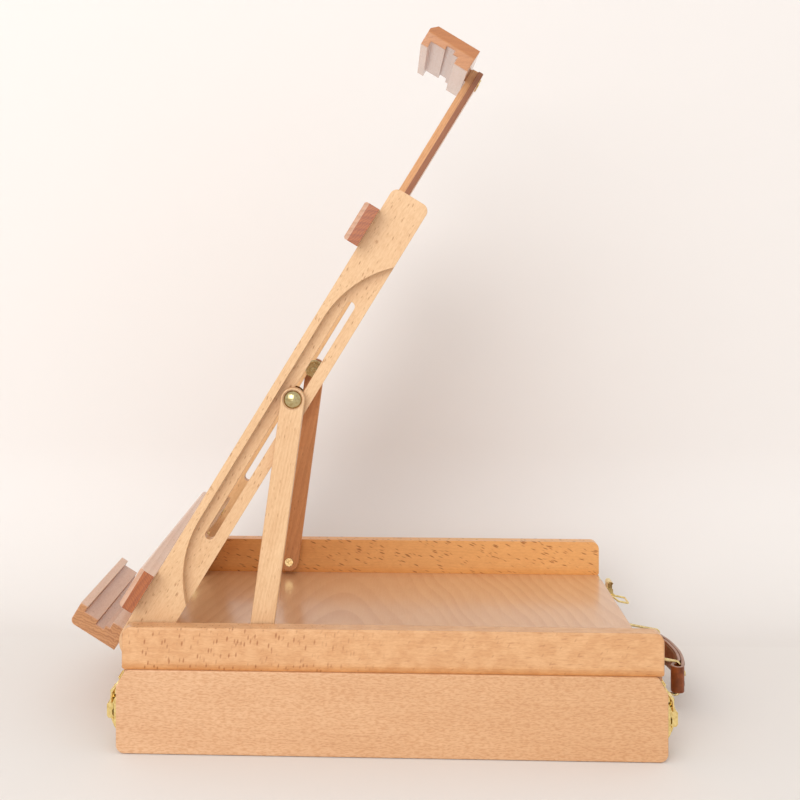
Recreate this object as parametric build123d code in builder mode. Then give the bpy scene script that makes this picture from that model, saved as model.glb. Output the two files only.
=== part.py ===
from build123d import *
import os
from math import radians, cos, sin, atan2, degrees, hypot

os.makedirs("parts", exist_ok=True)

# ---------------------------------------------------------------- dimensions
# Frame: origin at the centre of the underside, +Z up, the artist sits at -Y.

# lower box
BOX_HALF_W = 150.0        # outer faces of the side boards
BOX_HALF_L = 200.0        # ends of the box
SIDE_T = 14.0             # side board thickness
SIDE_H = 61.0             # side board height
WALL_T = 12.0             # front and back wall thickness
WALL_H = 55.9             # front and back wall height, lower for the lid panel
FOOT_R = 6.0              # rounded lower end corners
NOTCH_Y = 7.0             # slanted upper end corners, along Y
NOTCH_Z = 12.0            # slanted upper end corners, along Z
BASE_T = 4.0              # plywood bottom
BASE_LIP = 5.0            # rabbet that carries the bottom

# lid
PANEL_TOP = 61.1
PANEL_T = 5.0
PANEL_HALF_W = 142.7
PANEL_FRONT = -195.5
PANEL_BACK = 197.0
RAIL_IN = 136.0
RAIL_OUT = 149.5
RAIL_FRONT = -195.8
RAIL_BACK = 197.4
RAIL_TOP = 92.2
RAIL_END_R = 6.5
RAIL_BEVEL = (1.7, 4.6)   # along X and Z, on the lower outer edge

# easel frame; u runs up along a member, v points to the front
TILT = 58.45              # angle of the easel above the horizontal, at rest
P0 = (-185.6, 77.1)       # easel pivot (Y, Z)
MEMBER_IN = 116.0
MEMBER_OUT = 134.0
MEMBER_HALF = 15.5        # half the member's depth
MEMBER_TOP = 386.9
SLOT_LOW = 89.5
SLOT_HIGH = 297.3
SLOT_W = 7.2
SLOT_V = -2.8
RECESS_FLOOR = 125.5
RECESS_V = 9.5
RECESS_R = 84.0
RECESS_LOW = 100.8        # where the lower run-out arc meets the rim
RECESS_HIGH = 276.0       # where the upper run-out arc meets the rim
CROSS_V0 = 15.5
CROSS_V1 = 27.4
CROSS_LOW = (20.2, 51.8)
CROSS_HIGH = (334.9, 366.2)

# struts
P1 = (-96.7, 72.5)        # lower strut pivot (Y, Z)
BOLT_U = 213.2            # lock bolt on the member, at rest
ARM_W = 17.6
ARM_IN = 126.0
ARM_OUT = 134.0
PIVOT_R = 2.2
RUN = 0.05                # radial running clearance

# mast and its guides
MAST_TOP = 508.6
MAST_BOTTOM = 120.0
MAST_FRONT_HALF = 22.0
MAST_BACK_HALF = 28.0
MAST_V = (4.5, 9.0, 14.4)
GUIDE_OUT = 60.0
GUIDE_BOTTOM = -36.0

# canvas grips
LEDGE_HALF = 74.0
GRIP_HALF = 76.0

# draw latches; s is measured outwards from the end wall
LATCH_X = 126.0
LATCH_PIVOT = (6.6, 39.3)
LATCH_PIN_R = 1.0
LATCH_HOOK = (6.8, 31.8)      # where the bail hangs on the lever
LATCH_KNEE = (6.2, 39.6)      # bend in the bail's legs
LATCH_BAR = (1.0, 47.4)       # the bail's cross bar, just under the catch
LATCH_RATIO = -1.746          # bail turn for each degree of the lever
LATCH_OPEN = 180.0            # lever folded right up
WIRE = 0.9                    # bail wire radius

# carrying handle
RING_X = 38.0
RING_Y = 203.0
RING_OUT_Y = 233.0
RING_WIRE = 1.2
STRAP_Z = (13.0, 34.4)

# ---------------------------------------------------------------- frames
cu, su = cos(radians(TILT)), sin(radians(TILT))
EASEL = Plane(origin=(0, P0[0], P0[1]), x_dir=(0, cu, su), z_dir=(1, 0, 0))
BOLT = (P0[0] + BOLT_U * cu - SLOT_V * su, P0[1] + BOLT_U * su + SLOT_V * cu)
ARM_L = hypot(BOLT[0] - P1[0], BOLT[1] - P1[1])
ARM_A = degrees(atan2(BOLT[1] - P1[1], BOLT[0] - P1[0]))
ARM = Plane(origin=(0, P1[0], P1[1]),
            x_dir=(0, cos(radians(ARM_A)), sin(radians(ARM_A))), z_dir=(1, 0, 0))
SIDE = Plane(origin=(0, 0, 0), x_dir=(0, 1, 0), z_dir=(1, 0, 0))
END = Plane(origin=(0, -BOX_HALF_L, 0), x_dir=(0, -1, 0), z_dir=(-1, 0, 0))
print("strut length", round(ARM_L, 3), "angle", round(ARM_A, 3), "bolt", BOLT)

NAMES = []


def keep(builder, name):
    """Label one finished piece and write it."""
    builder.part.label = name
    export_step(builder.part, f"parts/{name}.step")
    NAMES.append(name)


# ---------------------------------------------------------------- lower box
with BuildPart() as side_board_right:
    with BuildSketch(SIDE.offset(BOX_HALF_W - SIDE_T)) as s:
        with BuildLine():
            Polyline((-BOX_HALF_L, 0), (BOX_HALF_L, 0), (BOX_HALF_L, SIDE_H - NOTCH_Z),
                     (BOX_HALF_L - NOTCH_Y, SIDE_H), (-BOX_HALF_L + NOTCH_Y, SIDE_H),
                     (-BOX_HALF_L, SIDE_H - NOTCH_Z), close=True)
        make_face()
        fillet(s.vertices().group_by(Axis.Y)[0], FOOT_R)
        fillet(s.vertices().group_by(Axis.Y)[-1], 4.0)
    extrude(amount=SIDE_T)
    fillet(faces().filter_by(Axis.X).sort_by(Axis.X)[-1].edges(), 0.8)
    # rabbet for the lid panel
    with BuildSketch(Plane.XY.offset(WALL_H)):
        with Locations((BOX_HALF_W - SIDE_T + 3.5, 0)):
            Rectangle(7.0, 2 * BOX_HALF_L + 2)
    extrude(amount=SIDE_H, mode=Mode.SUBTRACT)
    # rabbet for the bottom
    with BuildSketch(Plane.XY):
        with Locations((BOX_HALF_W - SIDE_T + BASE_LIP / 2, 0)):
            Rectangle(BASE_LIP, 2 * (BOX_HALF_L - WALL_T + BASE_LIP))
    extrude(amount=BASE_T, mode=Mode.SUBTRACT)
keep(side_board_right, "side_board_right")

with BuildPart() as side_board_left:
    mirror(side_board_right.part, about=Plane.YZ)
keep(side_board_left, "side_board_left")

with BuildPart() as front_wall:
    with BuildSketch(SIDE.offset(-(BOX_HALF_W - SIDE_T))) as s:
        with BuildLine():
            Polyline((-BOX_HALF_L, 0), (-BOX_HALF_L + WALL_T - BASE_LIP, 0),
                     (-BOX_HALF_L + WALL_T - BASE_LIP, BASE_T), (-BOX_HALF_L + WALL_T, BASE_T),
                     (-BOX_HALF_L + WALL_T, WALL_H),
                     (-BOX_HALF_L + NOTCH_Y * 7 / 12, WALL_H),
                     (-BOX_HALF_L, SIDE_H - NOTCH_Z), close=True)
        make_face()
        fillet(s.vertices().sort_by(Axis.Y)[0:2].sort_by(Axis.X)[0], FOOT_R)
    extrude(amount=2 * (BOX_HALF_W - SIDE_T))
keep(front_wall, "front_wall")

with BuildPart() as back_wall:
    mirror(front_wall.part, about=Plane.XZ)
keep(back_wall, "back_wall")

with BuildPart() as base_panel:
    with BuildSketch(Plane.XY):
        Rectangle(2 * (BOX_HALF_W - SIDE_T + BASE_LIP), 2 * (BOX_HALF_L - WALL_T + BASE_LIP))
    extrude(amount=BASE_T)
keep(base_panel, "base_panel")

# one long divider makes a brush channel, two short ones the paint bays
with BuildPart() as divider_long:
    with BuildSketch(Plane.XY.offset(BASE_T)):
        with Locations((-30, 0)):
            Rectangle(4, 2 * (BOX_HALF_L - WALL_T))
    extrude(amount=42)
keep(divider_long, "divider_long")

with BuildPart() as divider_cross:
    with BuildSketch(Plane.XY.offset(BASE_T)):
        with Locations(((BOX_HALF_W - SIDE_T - 28) / 2, -65), ((BOX_HALF_W - SIDE_T - 28) / 2, 75)):
            Rectangle(BOX_HALF_W - SIDE_T + 28, 4)
    extrude(amount=38)
keep(divider_cross, "divider_cross")

# ---------------------------------------------------------------- lid
with BuildPart() as lid_panel:
    with BuildSketch(Plane.XY.offset(PANEL_TOP - PANEL_T)):
        with Locations((0, (PANEL_FRONT + PANEL_BACK) / 2)):
            Rectangle(2 * PANEL_HALF_W, PANEL_BACK - PANEL_FRONT)
        # housings that set the back catches at the same distance as the front ones
        with Locations((-LATCH_X, PANEL_BACK - 0.75), (LATCH_X, PANEL_BACK - 0.75)):
            Rectangle(18, 1.5, mode=Mode.SUBTRACT)
    extrude(amount=PANEL_T)
keep(lid_panel, "lid_panel")

with BuildPart() as lid_rail_right:
    with BuildSketch(SIDE.offset(RAIL_IN)) as s:
        with BuildLine():
            Polyline((RAIL_FRONT, PANEL_TOP), (RAIL_BACK, PANEL_TOP), (RAIL_BACK, RAIL_TOP),
                     (RAIL_FRONT, RAIL_TOP), close=True)
        make_face()
        fillet(s.vertices().group_by(Axis.Y)[-1], RAIL_END_R)
        fillet(s.vertices().group_by(Axis.Y)[0], 2.0)
    extrude(amount=RAIL_OUT - RAIL_IN)
    outer = faces().filter_by(Axis.X).sort_by(Axis.X)[-1]
    chamfer(outer.edges(), 0.9)
    # long bevel on the lower outer edge
    with BuildSketch(Plane.XZ.offset(-RAIL_BACK - 1)):
        with BuildLine():
            Polyline((RAIL_OUT - RAIL_BEVEL[0], PANEL_TOP), (RAIL_OUT, PANEL_TOP + RAIL_BEVEL[1]),
                     (RAIL_OUT + 1, PANEL_TOP + RAIL_BEVEL[1]), (RAIL_OUT + 1, PANEL_TOP - 1),
                     (RAIL_OUT - RAIL_BEVEL[0], PANEL_TOP - 1), close=True)
        make_face()
    extrude(amount=RAIL_BACK - RAIL_FRONT + 2, mode=Mode.SUBTRACT)
    # seats of the two pivot screws
    with BuildSketch(SIDE.offset(RAIL_IN)):
        with Locations(P0, P1):
            Circle(PIVOT_R)
    extrude(amount=9.5, mode=Mode.SUBTRACT)
keep(lid_rail_right, "lid_rail_right")

with BuildPart() as lid_rail_left:
    mirror(lid_rail_right.part, about=Plane.YZ)
keep(lid_rail_left, "lid_rail_left")

# washers that keep the members and the struts off the rails
with BuildPart() as pivot_washers:
    with BuildSketch(SIDE.offset(MEMBER_OUT + 0.2)):
        with Locations(P0, P1):
            Circle(6.0)
            Circle(PIVOT_R, mode=Mode.SUBTRACT)
    extrude(amount=RAIL_IN - MEMBER_OUT - 0.2)
    mirror(about=Plane.YZ)
keep(pivot_washers, "pivot_washers")

# countersunk screws: easel pivots, heads on the members' inner faces
with BuildPart() as easel_pivot_screws:
    with BuildSketch(SIDE.offset(MEMBER_IN + 0.2)):
        with Locations(P0):
            Circle(PIVOT_R)
    extrude(amount=RAIL_IN + 9.0 - MEMBER_IN - 0.2)
    with BuildSketch(SIDE.offset(MEMBER_IN + 0.2)):
        with Locations(P0):
            Circle(4.4)
    with BuildSketch(SIDE.offset(MEMBER_IN + 2.6)):
        with Locations(P0):
            Circle(PIVOT_R)
    loft()
    # cross recess
    with BuildSketch(SIDE.offset(MEMBER_IN + 0.2)):
        with Locations(P0):
            Rectangle(4.6, 1.0)
            Rectangle(1.0, 4.6)
    extrude(amount=1.2, mode=Mode.SUBTRACT)
    mirror(about=Plane.YZ)
keep(easel_pivot_screws, "easel_pivot_screws")

# countersunk screws: strut pivots, heads on the struts' inner faces
with BuildPart() as arm_pivot_screws:
    with BuildSketch(SIDE.offset(ARM_IN - 0.2)):
        with Locations(P1):
            Circle(PIVOT_R)
    extrude(amount=RAIL_IN + 9.0 - ARM_IN + 0.2)
    with BuildSketch(SIDE.offset(ARM_IN - 0.2)):
        with Locations(P1):
            Circle(4.0)
    with BuildSketch(SIDE.offset(ARM_IN + 1.8)):
        with Locations(P1):
            Circle(PIVOT_R)
    loft()
    # cross recess
    with BuildSketch(SIDE.offset(ARM_IN - 0.2)):
        with Locations(P1):
            Rectangle(4.2, 0.9)
            Rectangle(0.9, 4.2)
    extrude(amount=1.0, mode=Mode.SUBTRACT)
    mirror(about=Plane.YZ)
keep(arm_pivot_screws, "arm_pivot_screws")

# ---------------------------------------------------------------- easel frame
with BuildPart() as easel_member_right:
    with BuildSketch(EASEL.offset(MEMBER_IN)) as s:
        with Locations(((MEMBER_TOP - 1) / 2, 0)):
            Rectangle(MEMBER_TOP + 1, 2 * MEMBER_HALF)
        Circle(MEMBER_HALF)
        # the strip beyond the round foot
        with Locations((-MEMBER_HALF / 2, 0)):
            Rectangle(MEMBER_HALF, 2 * MEMBER_HALF, mode=Mode.SUBTRACT)
        Circle(MEMBER_HALF)
    extrude(amount=MEMBER_OUT - MEMBER_IN)
    top = faces().sort_by(Axis((0, 0, 0), (0, cu, su)))[-1]
    fillet(top.edges().filter_by(Axis.X), 6.0)
    # bolt slot
    with BuildSketch(EASEL.offset(MEMBER_IN)):
        with Locations(((SLOT_LOW + SLOT_HIGH) / 2, SLOT_V)):
            SlotOverall(SLOT_HIGH - SLOT_LOW, SLOT_W)
    extrude(amount=MEMBER_OUT - MEMBER_IN, mode=Mode.SUBTRACT)
    # recess for the strut, open at the back edge
    drop = RECESS_V + MEMBER_HALF + 1.0
    reach = (2 * RECESS_R * drop - drop**2) ** 0.5
    mid = reach * 0.55
    mid_drop = RECESS_R - (RECESS_R**2 - mid**2) ** 0.5
    with BuildSketch(EASEL.offset(RECESS_FLOOR)):
        with BuildLine():
            low = ThreePointArc((RECESS_LOW - reach, RECESS_V - drop),
                                (RECESS_LOW - mid, RECESS_V - mid_drop), (RECESS_LOW, RECESS_V))
            Line(low @ 1, (RECESS_HIGH, RECESS_V))
            high = ThreePointArc((RECESS_HIGH, RECESS_V), (RECESS_HIGH + mid, RECESS_V - mid_drop),
                                 (RECESS_HIGH + reach, RECESS_V - drop))
            Line(high @ 1, low @ 0)
        make_face()
    extrude(amount=20, mode=Mode.SUBTRACT)
    # pivot hole with its countersink
    with BuildSketch(EASEL.offset(MEMBER_IN)):
        Circle(PIVOT_R + RUN)
    extrude(amount=MEMBER_OUT - MEMBER_IN, mode=Mode.SUBTRACT)
    with BuildSketch(EASEL.offset(MEMBER_IN)):
        Circle(4.8)
    with BuildSketch(EASEL.offset(MEMBER_IN + 2.9)):
        Circle(PIVOT_R + RUN)
    loft(mode=Mode.SUBTRACT)
keep(easel_member_right, "easel_member_right")

with BuildPart() as easel_member_left:
    mirror(easel_member_right.part, about=Plane.YZ)
keep(easel_member_left, "easel_member_left")


def cross_profile(u0, u1):
    """Closed section of a cross rail in the easel plane, front edges taken off."""
    return [(u0, CROSS_V0), (u1, CROSS_V0), (u1, CROSS_V1 - 1.2), (u1 - 1.2, CROSS_V1),
            (u0 + 1.2, CROSS_V1), (u0, CROSS_V1 - 1.2)]


with BuildPart() as cross_rail_lower:
    with BuildSketch(EASEL.offset(-BOX_HALF_W)):
        with BuildLine():
            Polyline(*cross_profile(*CROSS_LOW), close=True)
        make_face()
    extrude(amount=2 * BOX_HALF_W)
    ends = faces().filter_by(Axis.X)
    front = Axis((0, 0, 0), (0, -su, cu))
    chamfer([f.edges().sort_by(front)[-1] for f in ends], 3.4)
keep(cross_rail_lower, "cross_rail_lower")

with BuildPart() as cross_rail_upper:
    with BuildSketch(EASEL.offset(-BOX_HALF_W)):
        with BuildLine():
            Polyline(*cross_profile(*CROSS_HIGH), close=True)
        make_face()
    extrude(amount=2 * BOX_HALF_W)
    ends = faces().filter_by(Axis.X)
    chamfer([f.edges().sort_by(front)[-1] for f in ends], 3.4)
keep(cross_rail_upper, "cross_rail_upper")

# rabbeted guides that the mast runs between; their feet carry the ledge
with BuildPart() as mast_guide_right:
    with BuildSketch(EASEL.offset(MAST_FRONT_HALF + 0.4)):
        with BuildLine():
            Polyline((GUIDE_BOTTOM, 5.4), (GUIDE_BOTTOM, 14.6), (-14, 14.6), (-13, CROSS_V0),
                     (CROSS_HIGH[1], CROSS_V0), (CROSS_HIGH[1], MAST_V[0] - 0.3),
                     (-8, MAST_V[0] - 0.3), (-14, 5.4), close=True)
        make_face()
    extrude(amount=GUIDE_OUT - MAST_FRONT_HALF - 0.4)
    with BuildSketch(EASEL.offset(MAST_FRONT_HALF + 0.4)):
        with Locations(((CROSS_HIGH[1]) / 2, (MAST_V[0] - 0.3 + MAST_V[1] + 0.3) / 2)):
            Rectangle(CROSS_HIGH[1] + 2, MAST_V[1] - MAST_V[0] + 0.6)
    extrude(amount=MAST_BACK_HALF - MAST_FRONT_HALF, mode=Mode.SUBTRACT)
keep(mast_guide_right, "mast_guide_right")

with BuildPart() as mast_guide_left:
    mirror(mast_guide_right.part, about=Plane.YZ)
keep(mast_guide_left, "mast_guide_left")

# ledge that the picture stands on
with BuildPart() as canvas_ledge:
    with BuildSketch(EASEL.offset(-LEDGE_HALF)) as s:
        with BuildLine():
            Polyline((-39.5, 14.6), (-21.0, 14.6), (-21.0, 26.5), (-26.3, 26.5), (-26.3, 30.4),
                     (-29.8, 30.4), (-29.8, 37.6), (-26.0, 37.6), (-26.0, 50.2), (-21.4, 50.2),
                     (-21.4, 56.6), (-39.5, 56.6), close=True)
        make_face()
        fillet(s.vertices().sort_by(Axis.X)[0:2].sort_by(Axis.Y)[-1], 4.5)
    extrude(amount=2 * LEDGE_HALF)
    chamfer(faces().filter_by(Axis.X).edges(), 0.5)
keep(canvas_ledge, "canvas_ledge")

# block behind the mast with the clamp screw, and a plain keeper further down
with BuildPart() as mast_clamp_block:
    with BuildSketch(EASEL.offset(-GUIDE_OUT)) as s:
        with Locations((332, (MAST_V[0] - 0.3 - 2.0) / 2)):
            Rectangle(28, MAST_V[0] - 0.3 + 2.0)
    extrude(amount=2 * GUIDE_OUT)
    clamp_plane = Plane(origin=(0, P0[0] + 332 * cu + 2.0 * su, P0[1] + 332 * su - 2.0 * cu),
                        x_dir=(1, 0, 0), z_dir=(0, su, -cu))
    with BuildSketch(clamp_plane):
        Circle(3.0 + RUN)
    extrude(amount=-10, mode=Mode.SUBTRACT)
    back = Axis((0, 0, 0), (0, su, -cu))
    chamfer(faces().sort_by(back)[-1].outer_wire().edges(), 1.5)
keep(mast_clamp_block, "mast_clamp_block")

with BuildPart() as mast_keeper:
    with BuildSketch(EASEL.offset(-GUIDE_OUT)):
        with Locations((70, MAST_V[0] - 0.3 - 2.0)):
            Rectangle(22, 4.0)
    extrude(amount=2 * GUIDE_OUT)
    chamfer(faces().sort_by(back)[-1].edges(), 1.0)
keep(mast_keeper, "mast_keeper")

# screws through the keeper and the block into the guides, heads at the back
with BuildPart() as guide_screws:
    for u, v in ((332, -2.0), (70, MAST_V[0] - 0.3 - 4.0)):
        for x in (-46, 46):
            pl = Plane(origin=(x, P0[0] + u * cu - v * su, P0[1] + u * su + v * cu),
                       x_dir=(1, 0, 0), z_dir=(0, su, -cu))
            with BuildSketch(pl):
                Circle(3.4)
            extrude(amount=1.2)
            with BuildSketch(pl.offset(1.2)):
                Rectangle(4.0, 0.9)
                Rectangle(0.9, 4.0)
            extrude(amount=-0.8, mode=Mode.SUBTRACT)
keep(guide_screws, "guide_screws")

# ---------------------------------------------------------------- mast
with BuildPart() as mast:
    with BuildSketch(EASEL.offset(-MAST_BACK_HALF)) as s:
        with Locations(((MAST_BOTTOM + MAST_TOP) / 2, (MAST_V[0] + MAST_V[1]) / 2)):
            Rectangle(MAST_TOP - MAST_BOTTOM, MAST_V[1] - MAST_V[0])
    extrude(amount=2 * MAST_BACK_HALF)
    with BuildSketch(EASEL.offset(-MAST_FRONT_HALF)):
        with Locations(((MAST_BOTTOM + MAST_TOP) / 2, (MAST_V[1] + MAST_V[2]) / 2)):
            Rectangle(MAST_TOP - MAST_BOTTOM, MAST_V[2] - MAST_V[1])
    extrude(amount=2 * MAST_FRONT_HALF)
    top = faces().sort_by(Axis((0, 0, 0), (0, cu, su)))[-1]
    chamfer(top.edges().filter_by(Axis.X), 0.6)
keep(mast, "mast")

with BuildPart() as holder_packer:
    with BuildSketch(EASEL.offset(-MAST_FRONT_HALF)):
        with Locations(((496.5 + 507.5) / 2, (MAST_V[2] + 15.6) / 2)):
            Rectangle(11.0, 15.6 - MAST_V[2])
    extrude(amount=2 * MAST_FRONT_HALF)
keep(holder_packer, "holder_packer")

with BuildPart() as canvas_holder_upper:
    with BuildSketch(EASEL.offset(-GRIP_HALF)) as s:
        with BuildLine():
            Polyline((515.6, 15.6), (495.8, 15.6), (495.8, 28.0), (501.4, 28.0), (501.4, 32.3),
                     (504.8, 32.3), (504.8, 39.4), (501.4, 39.4), (501.4, 52.1), (495.8, 52.1),
                     (495.8, 58.2), (510.6, 58.2), (515.6, 53.6), close=True)
        make_face()
    extrude(amount=2 * GRIP_HALF)
    # sloped outer corner at each end
    with BuildSketch(Plane(origin=(0, P0[0], P0[1]), x_dir=(1, 0, 0), z_dir=(0, -su, cu)).offset(10)):
        for k in (-1, 1):
            with BuildLine():
                Polyline((k * GRIP_HALF, 507.4), (k * (GRIP_HALF + 4), 507.4), (k * (GRIP_HALF + 4), 520.0),
                         (k * (GRIP_HALF - 6.0 * (520.0 - 507.4) / 8.2), 520.0), close=True)
            make_face()
    extrude(amount=54, mode=Mode.SUBTRACT)
    chamfer(faces().filter_by(Axis.X).edges(), 0.5)
keep(canvas_holder_upper, "canvas_holder_upper")

# two screws through the mast into the upper holder
with BuildPart() as holder_screws:
    for x in (-13, 13):
        pl = Plane(origin=(x, P0[0] + 502 * cu - MAST_V[0] * su, P0[1] + 502 * su + MAST_V[0] * cu),
                   x_dir=(1, 0, 0), z_dir=(0, su, -cu))
        with BuildSketch(pl):
            Circle(3.6)
        extrude(amount=1.0)
        with BuildSketch(pl.offset(1.0)):
            Rectangle(4.2, 0.9)
            Rectangle(0.9, 4.2)
        extrude(amount=-0.7, mode=Mode.SUBTRACT)
keep(holder_screws, "holder_screws")

with BuildPart() as mast_knob:
    with BuildSketch(clamp_plane.offset(0.3)):
        Circle(11.0)
        with PolarLocations(11.6, 18):
            Circle(1.2, mode=Mode.SUBTRACT)
    extrude(amount=6.5)
    with BuildSketch(clamp_plane.offset(6.8)):
        Circle(7.0)
    extrude(amount=3.2, taper=12)
    with BuildSketch(clamp_plane.offset(0.3)):
        Circle(3.0)
    extrude(amount=-6.3)
keep(mast_knob, "mast_knob")

# ---------------------------------------------------------------- struts
with BuildPart() as arm_right:
    with BuildSketch(ARM.offset(ARM_IN)):
        with Locations((ARM_L / 2, 0)):
            SlotCenterToCenter(ARM_L, ARM_W)
    extrude(amount=ARM_OUT - ARM_IN)
    chamfer(faces().filter_by(Axis.X).edges(), 0.6)
    with BuildSketch(ARM.offset(ARM_IN)):
        Circle(PIVOT_R + RUN)
    extrude(amount=ARM_OUT - ARM_IN, mode=Mode.SUBTRACT)
    with BuildSketch(ARM.offset(ARM_IN)):
        Circle(4.3)
    with BuildSketch(ARM.offset(ARM_IN + 2.1)):
        Circle(PIVOT_R + RUN)
    loft(mode=Mode.SUBTRACT)
    # counterbore for the bolt head and the hole behind it
    with BuildSketch(ARM.offset(ARM_OUT)):
        with Locations((ARM_L, 0)):
            Circle(7.6)
    extrude(amount=-1.5, mode=Mode.SUBTRACT)
    with BuildSketch(ARM.offset(ARM_OUT)):
        with Locations((ARM_L, 0)):
            Circle(3.3)
    extrude(amount=-10, mode=Mode.SUBTRACT)
keep(arm_right, "arm_right")

with BuildPart() as arm_left:
    mirror(arm_right.part, about=Plane.YZ)
keep(arm_left, "arm_left")

# domed bolt head with its short neck in the strut
HEAD_R = 6.75
HEAD_H = 3.2
HEAD_RIM = 0.4
with BuildPart() as lock_bolt_head_right:
    dome_h = HEAD_H - HEAD_RIM
    dome_r = (HEAD_R**2 + dome_h**2) / (2 * dome_h)
    half = HEAD_R * 0.55
    with BuildSketch(Plane(origin=(ARM_OUT - 1.5, BOLT[0], BOLT[1]), x_dir=(1, 0, 0), z_dir=(0, 0, 1))):
        with BuildLine():
            Polyline((HEAD_H, 0), (0, 0), (0, HEAD_R), (HEAD_RIM, HEAD_R))
            ThreePointArc((HEAD_RIM, HEAD_R), (HEAD_H - dome_r + (dome_r**2 - half**2) ** 0.5, half),
                          (HEAD_H, 0))
        make_face()
    revolve(axis=Axis((0, BOLT[0], BOLT[1]), (1, 0, 0)))
    with BuildSketch(ARM.offset(ARM_OUT - 1.5)):
        with Locations((ARM_L, 0)):
            Circle(3.25)
    extrude(amount=-6.0)
keep(lock_bolt_head_right, "lock_bolt_head_right")

with BuildPart() as lock_bolt_head_left:
    mirror(lock_bolt_head_right.part, about=Plane.YZ)
keep(lock_bolt_head_left, "lock_bolt_head_left")

# threaded shank that slides in the member's slot, washer and thumb nut
with BuildPart() as lock_bolt_right:
    with BuildSketch(SIDE.offset(107.5)):
        with Locations(BOLT):
            Circle(2.3)
    extrude(amount=125.4 - 107.5)
    chamfer(faces().sort_by(Axis.X)[0].edges(), 0.5)
    with BuildSketch(EASEL.offset(116.2)):
        with Locations((BOLT_U, SLOT_V)):
            RectangleRounded(8.0, 6.4, 0.6)
    extrude(amount=9.2)
keep(lock_bolt_right, "lock_bolt_right")

with BuildPart() as lock_bolt_left:
    mirror(lock_bolt_right.part, about=Plane.YZ)
keep(lock_bolt_left, "lock_bolt_left")

with BuildPart() as lock_washer_right:
    with BuildSketch(SIDE.offset(114.2)):
        with Locations(BOLT):
            Circle(8.6)
            Circle(2.3, mode=Mode.SUBTRACT)
    extrude(amount=1.5)
    chamfer(faces().sort_by(Axis.X)[0].outer_wire().edges(), 0.9)
keep(lock_washer_right, "lock_washer_right")

with BuildPart() as lock_washer_left:
    mirror(lock_washer_right.part, about=Plane.YZ)
keep(lock_washer_left, "lock_washer_left")

with BuildPart() as lock_nut_right:
    with BuildSketch(SIDE.offset(109.6)):
        with Locations(BOLT):
            Circle(6.2)
    extrude(amount=4.4)
    with BuildSketch(SIDE.offset(109.6)):
        with Locations(BOLT):
            with PolarLocations(6.4, 14):
                Circle(0.75)
    extrude(amount=4.4, mode=Mode.SUBTRACT)
    with BuildSketch(SIDE.offset(109.6)):
        with Locations(BOLT):
            Circle(2.3 + RUN)
    extrude(amount=4.4, mode=Mode.SUBTRACT)
keep(lock_nut_right, "lock_nut_right")

with BuildPart() as lock_nut_left:
    mirror(lock_nut_right.part, about=Plane.YZ)
keep(lock_nut_left, "lock_nut_left")

# ---------------------------------------------------------------- draw latches
# drawn at the front right corner; s is outwards, the local y is up
def end_plane(x):
    return END.offset(-x)


with BuildPart() as latch_plate:
    with BuildSketch(Plane(origin=(LATCH_X, -BOX_HALF_L, 0), x_dir=(1, 0, 0), z_dir=(0, -1, 0))) as s:
        with BuildLine():
            Polyline((-9, 41.5), (9, 41.5), (9, 12), (6.5, 8.5), (-6.5, 8.5), (-9, 12), close=True)
        make_face()
        fillet(s.vertices(), 1.5)
    extrude(amount=1.2)
    # two ears that carry the lever pin
    for x in (LATCH_X - 4.6, LATCH_X + 6.0):
        with BuildSketch(end_plane(x)):
            with BuildLine():
                Polyline((1.0, 36.0), (6.4, 37.7), (6.4, 40.9), (1.0, 41.5), close=True)
            make_face()
            with Locations(LATCH_PIVOT):
                Circle(1.6)
            with Locations(LATCH_PIVOT):
                Circle(LATCH_PIN_R, mode=Mode.SUBTRACT)
        extrude(amount=1.4)
    # turned-up side flanges
    for x in (LATCH_X + 9.0, LATCH_X - 7.8):
        with BuildSketch(end_plane(x)):
            with BuildLine():
                Polyline((1.0, 11.6), (3.2, 12.2), (4.9, 15.0), (4.9, 34.4), (1.0, 39.5), close=True)
            make_face()
        extrude(amount=1.2)
    # curled stop under the lever's tip
    with BuildSketch(end_plane(LATCH_X + 3.4)):
        with BuildLine():
            Polyline((1.0, 9.5), (4.0, 10.2), (7.0, 14.8), (8.2, 18.2), (7.2, 18.8), (5.6, 16.2),
                     (1.0, 14.0), close=True)
        make_face()
    extrude(amount=6.8)

with BuildPart() as latch_plates:
    add(latch_plate.part)
    mirror(about=Plane.YZ)
    mirror(about=Plane.XZ)
keep(latch_plates, "latch_plates")

with BuildPart() as latch_pins:
    with BuildSketch(end_plane(LATCH_X + 6.6)):
        with Locations(LATCH_PIVOT):
            Circle(LATCH_PIN_R)
    extrude(amount=13.2)
    mirror(about=Plane.YZ)
    mirror(about=Plane.XZ)
keep(latch_pins, "latch_pins")

with BuildPart() as latch_screws:
    with BuildSketch(Plane(origin=(LATCH_X, -BOX_HALF_L - 1.2, 0), x_dir=(1, 0, 0), z_dir=(0, -1, 0))):
        with Locations((-5.7, 11.8), (5.7, 11.8)):
            Circle(1.75)
    extrude(amount=0.8)
    with BuildSketch(Plane(origin=(LATCH_X, -BOX_HALF_L - 2.0, 0), x_dir=(1, 0, 0), z_dir=(0, -1, 0))):
        with Locations((-5.7, 11.8), (5.7, 11.8)):
            Rectangle(2.4, 0.6)
            Rectangle(0.6, 2.4)
    extrude(amount=-0.5, mode=Mode.SUBTRACT)
    mirror(about=Plane.YZ)
    mirror(about=Plane.XZ)
keep(latch_screws, "latch_screws")

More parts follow.
